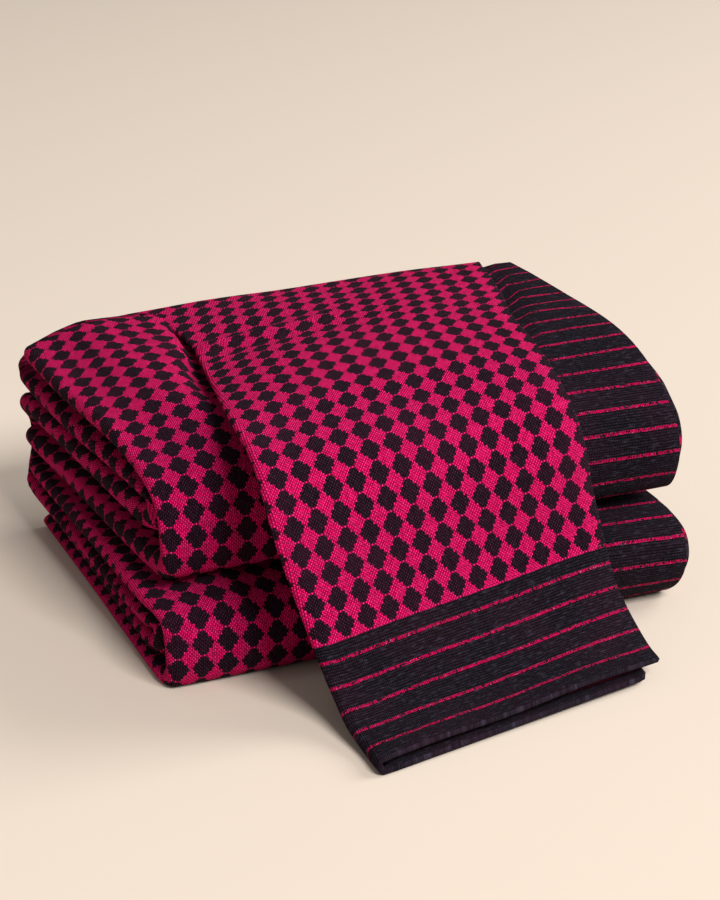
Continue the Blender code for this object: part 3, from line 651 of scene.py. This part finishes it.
class Recipe:
    """Short words for a material's nodes."""

    def __init__(self, name):
        self.material = bpy.data.materials.new(name)
        self.material.use_nodes = True
        self.tree = self.material.node_tree
        self.shader = self.tree.nodes["Principled BSDF"]

    def put(self, socket, value):
        if isinstance(value, bpy.types.NodeSocket):
            self.tree.links.new(value, socket)
        else:
            socket.default_value = value

    def math(self, kind, *values):
        node = self.tree.nodes.new("ShaderNodeMath")
        node.operation = kind
        for socket, value in zip(node.inputs, values):
            self.put(socket, value)
        return node.outputs[0]

    def plus(self, first, second):
        return self.math("ADD", first, second)

    def minus(self, first, second):
        return self.math("SUBTRACT", first, second)

    def times(self, first, second):
        return self.math("MULTIPLY", first, second)

    def times_plus(self, first, second, added):
        return self.math("MULTIPLY_ADD", first, second, added)

    def value_of(self, name):
        node = self.tree.nodes.new("ShaderNodeAttribute")
        node.attribute_name = name
        return node.outputs["Fac"]

    def place(self, x, y, z=0.0):
        node = self.tree.nodes.new("ShaderNodeCombineXYZ")
        for socket, value in zip(node.inputs, (x, y, z)):
            self.put(socket, value)
        return node.outputs[0]

    def noise(self, where, scale, detail=2.0):
        node = self.tree.nodes.new("ShaderNodeTexNoise")
        self.put(node.inputs["Vector"], where)
        node.inputs["Scale"].default_value = scale
        node.inputs["Detail"].default_value = detail
        return node.outputs["Fac"]

    def mix(self, share, first, second):
        node = self.tree.nodes.new("ShaderNodeMix")
        node.data_type = "RGBA"
        self.put(node.inputs["Factor"], share)
        self.put(node.inputs["A"], first)
        self.put(node.inputs["B"], second)
        return node.outputs["Result"]

    def between(self, value, low, high):
        """0 up to low, 1 from high, soft in between."""
        node = self.tree.nodes.new("ShaderNodeMapRange")
        node.interpolation_type = "SMOOTHSTEP"
        self.put(node.inputs["Value"], value)
        node.inputs["From Min"].default_value = low
        node.inputs["From Max"].default_value = high
        return node.outputs["Result"]

    def number_in_repeat(self, yarn, yarns):
        """The whole number of a yarn in its repeat, from 0."""
        return self.math("FLOORED_MODULO", self.math("FLOOR", yarn), yarns)

    def from_nearest_whole(self, value):
        """How far a value lies past the nearest whole number, below 0 before it."""
        return self.minus(self.math("FRACT", self.plus(value, 0.5)), 0.5)

    def ridges(self, value):
        """One round ridge for each whole step of the value: |sin| of pi times it."""
        return self.math("ABSOLUTE", self.math("SINE", self.times(value, np.pi)))


def cerise_yarns(r, warp, weft, crossing):
    """1 on a cerise yarn. At i, j yarns from a diamond's middle that is where |i| is under DIAMOND_HALF and
    |i| + 2 floor(|j| / 2) under DIAMOND_REACH, so that the sides step by two yarns. Along both axes the
    middle yarns run on from diamond to diamond, at half strength at every second crossing."""
    from_left = r.plus(r.number_in_repeat(warp, YARNS_ACROSS), 0.5)
    i = r.math("MINIMUM", from_left, r.minus(YARNS_ACROSS, from_left))
    number = r.number_in_repeat(weft, YARNS)
    j = r.math("MINIMUM", number, r.minus(YARNS, number))
    stepped = r.times_plus(r.math("FLOOR", r.times(j, 0.5)), 2.0, i)
    diamond = r.times(r.math("LESS_THAN", stepped, DIAMOND_REACH), r.math("LESS_THAN", i, DIAMOND_HALF))
    on_axis = r.math("MAXIMUM", r.math("LESS_THAN", i, 0.6), r.math("LESS_THAN", j, 0.5))
    run_on = r.times(on_axis, r.times_plus(crossing, 0.5, 0.5))
    return r.math("MAXIMUM", diamond, run_on)


def yarn_relief(r, a, b, warp, weft, crossing):
    """Height of the weave, where each crossing is a soft dash along the warp or along the weft in turn, then
    the uneven thickness of the yarns along the cloth and across it, which also adds to the height."""
    warp_round = r.ridges(warp)
    weft_round = r.ridges(weft)
    over = r.times(warp_round, r.times_plus(weft_round, 0.45, 0.55))
    under = r.times(weft_round, r.times(warp_round, 0.75))
    weave = r.times_plus(over, crossing, r.times(under, r.minus(1.0, crossing)))
    thread = r.noise(r.place(r.times(a, YARNS), r.times(b, 4.0)), 0.8)
    pick = r.noise(r.place(r.times(a, 3.0), r.times(b, YARNS), 5.0), 0.8)
    for uneven in (thread, pick):
        weave = r.plus(weave, r.times_plus(uneven, 0.5, -0.25))
    return weave, thread, pick


def band_lines(r, a, b, left, wander):
    """1 on a cerise line of a band: at each whole repeat along the cloth, or in the end band at each whole
    repeat from END_LINE_AT off the hem. A line is two rows of dashes with a parting between them."""
    in_end = r.math("GREATER_THAN", END_BAND, left)
    side_line = r.from_nearest_whole(b)
    end_line = r.from_nearest_whole(r.minus(left, END_LINE_AT))
    from_line = r.plus(r.times(side_line, r.minus(1.0, in_end)), r.times(end_line, in_end))
    from_line = r.math("ABSOLUTE", r.times_plus(r.minus(wander, 0.5), LINE_WANDER, from_line))
    in_line = r.minus(1.0, r.between(from_line, LINE_HALF, LINE_FADED))
    dash = r.between(r.noise(r.place(r.times(a, YARNS), r.times(b, YARNS), 9.0), 0.75, 1.0), 0.38, 0.5)
    parted = r.between(from_line, 0.0, LINE_PARTING)
    return r.times(in_line, r.times(dash, r.times_plus(parted, 0.5, 0.5)))


def yarn_colour(r, shown, painted_highlight_share, slub, painted_shade, plain, light):
    """A yarn's colour: painted shade in the gaps, plain over them, a painted highlight where it is raised, and
    darker again, towards the painted shade's colour, on a slub."""
    colour = r.mix(shown, painted_shade, plain)
    # light is the painted highlight colour, laid on where the yarn is raised.
    colour = r.mix(painted_highlight_share, colour, light)
    return r.mix(r.times(slub, SLUB), colour, painted_shade)


def band_colour(r, a, b, weave, pick, slub, rib, line_share):
    """A band's colour: black ribs with painted shade in their grooves, a painted highlight on thick yarns,
    dark on slubs, and cerise lines with painted shade where the yarn relief is low and pale flecks."""
    relief = r.times(rib, r.times_plus(weave, 0.6, 0.4))
    # Painted shade in the ribs' grooves, and a painted highlight on thick yarns.
    ribbed = r.mix(r.between(relief, 0.1, 0.9), BAND_PAINTED_SHADE, BAND)
    ribbed = r.mix(r.times(r.between(pick, 0.5, 0.75), 0.6), ribbed, BAND_PAINTED_HIGHLIGHT)
    ribbed = r.mix(r.times(slub, BAND_SLUB), ribbed, BAND_PAINTED_SHADE)
    fleck = r.between(r.noise(r.place(r.times(a, 9.0), r.times(b, 9.0), 2.0), 1.0, 1.0), 0.62, 0.7)
    # The cerise line takes painted shade where the yarn relief is low.
    line = r.mix(weave, CERISE_PAINTED_SHADE, r.mix(r.times(fleck, 0.5), CERISE, FLECK))
    return r.mix(line_share, ribbed, line)


def cloth_finish():
    """Handwoven cotton of fourteen yarns a repeat across and thirteen along: a check of cerise and black
    diamonds, and black ribbed bands with one cerise line a repeat. Colour and bump both follow the relief of
    the yarns: the colour is painted shade where it is low and a painted highlight where it is raised."""
    r = Recipe("cloth")
    across = r.value_of("across")
    along = r.value_of("along")
    left = r.value_of("to_hem")
    in_band = r.math("GREATER_THAN", r.value_of("band"), 0.0)
    wander = r.noise(r.place(across, along), 1.1, 1.0)
    wander_along = r.noise(r.place(along, across, 3.0), 0.9, 1.0)
    # a and b are the places across and along, in repeats, of the yarns as they stray
    a = r.times_plus(r.minus(wander, 0.5), WANDER, across)
    b = r.times_plus(r.minus(wander_along, 0.5), WANDER, along)
    warp = r.times(a, YARNS_ACROSS)
    weft = r.times_plus(b, YARNS, 0.5)
    crossing = r.math("FLOORED_MODULO", r.plus(r.math("FLOOR", warp), r.math("FLOOR", weft)), 2.0)
    weave, thread, pick = yarn_relief(r, a, b, warp, weft, crossing)
    rib = r.ridges(r.times(b, RIBS))
    slub = r.between(r.noise(r.place(r.times(a, 6.0), r.times(b, 8.0), 11.0), 1.0, 3.0), 0.38, 0.68)

    # Painted shade where the yarn relief is low, and a painted highlight on the raised crossings.
    shown = r.between(weave, 0.2, 0.8)
    thick = r.times_plus(r.between(thread, 0.35, 0.7), 0.6, 0.4)
    painted_highlight_share = r.times(r.times(crossing, shown), thick)
    cerise = yarn_colour(r, shown, painted_highlight_share, slub, CERISE_PAINTED_SHADE, CERISE, CERISE_PAINTED_HIGHLIGHT)
    dark = yarn_colour(r, shown, painted_highlight_share, slub, DARK_PAINTED_SHADE, DARK, DARK_PAINTED_HIGHLIGHT)
    check = r.mix(cerise_yarns(r, warp, weft, crossing), dark, cerise)
    line_share = band_lines(r, a, b, left, wander)
    colour = r.mix(in_band, check, band_colour(r, a, b, weave, pick, slub, rib, line_share))
    worn = r.between(r.noise(r.place(a, b, 7.0), 0.3, 3.0), 0.35, 0.75)
    r.put(r.shader.inputs["Base Color"], r.mix(r.times(worn, WEAR), colour, WORN))
    r.shader.inputs["Roughness"].default_value = ROUGHNESS
    r.shader.inputs["Specular IOR Level"].default_value = SPECULAR
    r.shader.inputs["Sheen Weight"].default_value = SHEEN
    r.shader.inputs["Sheen Roughness"].default_value = SHEEN_ROUGHNESS

    height = r.times_plus(rib, r.times(in_band, 0.6), weave)
    for uneven, strength in ((thread, 0.4), (slub, -0.6), (pick, 0.4)):
        height = r.times_plus(uneven, strength, height)
    bump = r.tree.nodes.new("ShaderNodeBump")
    bump.inputs["Strength"].default_value = 1.0
    bump.inputs["Distance"].default_value = BUMP_DEPTH
    r.put(bump.inputs["Height"], height)
    r.put(r.shader.inputs["Normal"], bump.outputs[0])
    return r.material


def folded_cloth():
    """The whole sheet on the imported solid's folds, in metres and in the solid's place, and its middle
    surface."""
    middle, thickness, line, height = middle_surface()
    marks = cloth_marks(middle, line, height)
    points, quads, marks = closed_cloth(middle, thickness, marks)
    mesh = quad_mesh("cloth", (points - PILE_CENTRE) * MM, quads)
    for name, values in zip(("across", "along", "to_hem", "band"), marks):
        point_value(mesh, name, values)
    cloth = bpy.data.objects.new("cloth", mesh)
    bpy.context.scene.collection.objects.link(cloth)
    mesh.materials.append(cloth_finish())
    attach(cloth, "root")
    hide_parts("bedsheet")
    return cloth, middle


def put_in_place(thing, directions, place):
    """Links a light or the camera at a place in metres, with its own three axes along three directions."""
    turned = np.eye(4)
    turned[:3, :3] = np.stack(directions, axis=1)
    turned[:3, 3] = place
    thing.matrix_world = Matrix(turned.tolist())
    bpy.context.scene.collection.objects.link(thing)


def studio_floor():
    """A plain pale floor, one square face."""
    mesh = bpy.data.meshes.new("floor")
    corners = [(x * FLOOR_REACH, y * FLOOR_REACH, 0.0) for x, y in ((-1, -1), (1, -1), (1, 1), (-1, 1))]
    mesh.from_pydata(corners, [], [(0, 1, 2, 3)])
    r = Recipe("pale_floor")
    r.shader.inputs["Base Color"].default_value = FLOOR_COLOUR
    r.shader.inputs["Roughness"].default_value = FLOOR_ROUGHNESS
    mesh.materials.append(r.material)
    floor = bpy.data.objects.new("floor", mesh)
    bpy.context.scene.collection.objects.link(floor)


def studio_light(name, place, size, watts):
    """A square light at a place, with its beam on LIT_POINT."""
    light = bpy.data.lights.new(name, "AREA")
    light.energy = watts
    light.size = size
    light.color = LIGHT_COLOUR
    beam = unit(np.array(LIT_POINT) - np.array(place))
    side = unit(np.cross(beam, (0.0, 0.0, 1.0)))
    put_in_place(bpy.data.objects.new(name, light), (side, np.cross(side, beam), -beam), place)


def studio_camera():
    """The camera at the photograph's viewing angle."""
    camera = bpy.data.cameras.new("camera")
    camera.sensor_width = SENSOR
    camera.lens = LENS_PIXELS * SENSOR / PICTURE_HEIGHT
    camera.clip_start = 0.01
    camera_object = bpy.data.objects.new("camera", camera)
    up_and_back = (-np.array(CAMERA_DOWN), -np.array(CAMERA_AHEAD))
    place = (np.array(CAMERA_PLACE) - PILE_CENTRE) * MM
    put_in_place(camera_object, (CAMERA_ACROSS, *up_and_back), place)
    bpy.context.scene.camera = camera_object


def studio():
    """Floor, sky, lights and camera, and plain colours for the picture."""
    studio_floor()
    world = bpy.data.worlds.new("studio")
    bpy.context.scene.world = world
    world.use_nodes = True
    world.node_tree.nodes["Background"].inputs["Color"].default_value = SKY_COLOUR
    world.node_tree.nodes["Background"].inputs["Strength"].default_value = SKY_STRENGTH
    for name, place, size, watts in LIGHTS:
        studio_light(name, place, size, watts)
    studio_camera()
    bpy.context.scene.view_settings.view_transform = "Standard"


cloth, middle = folded_cloth()
studio()
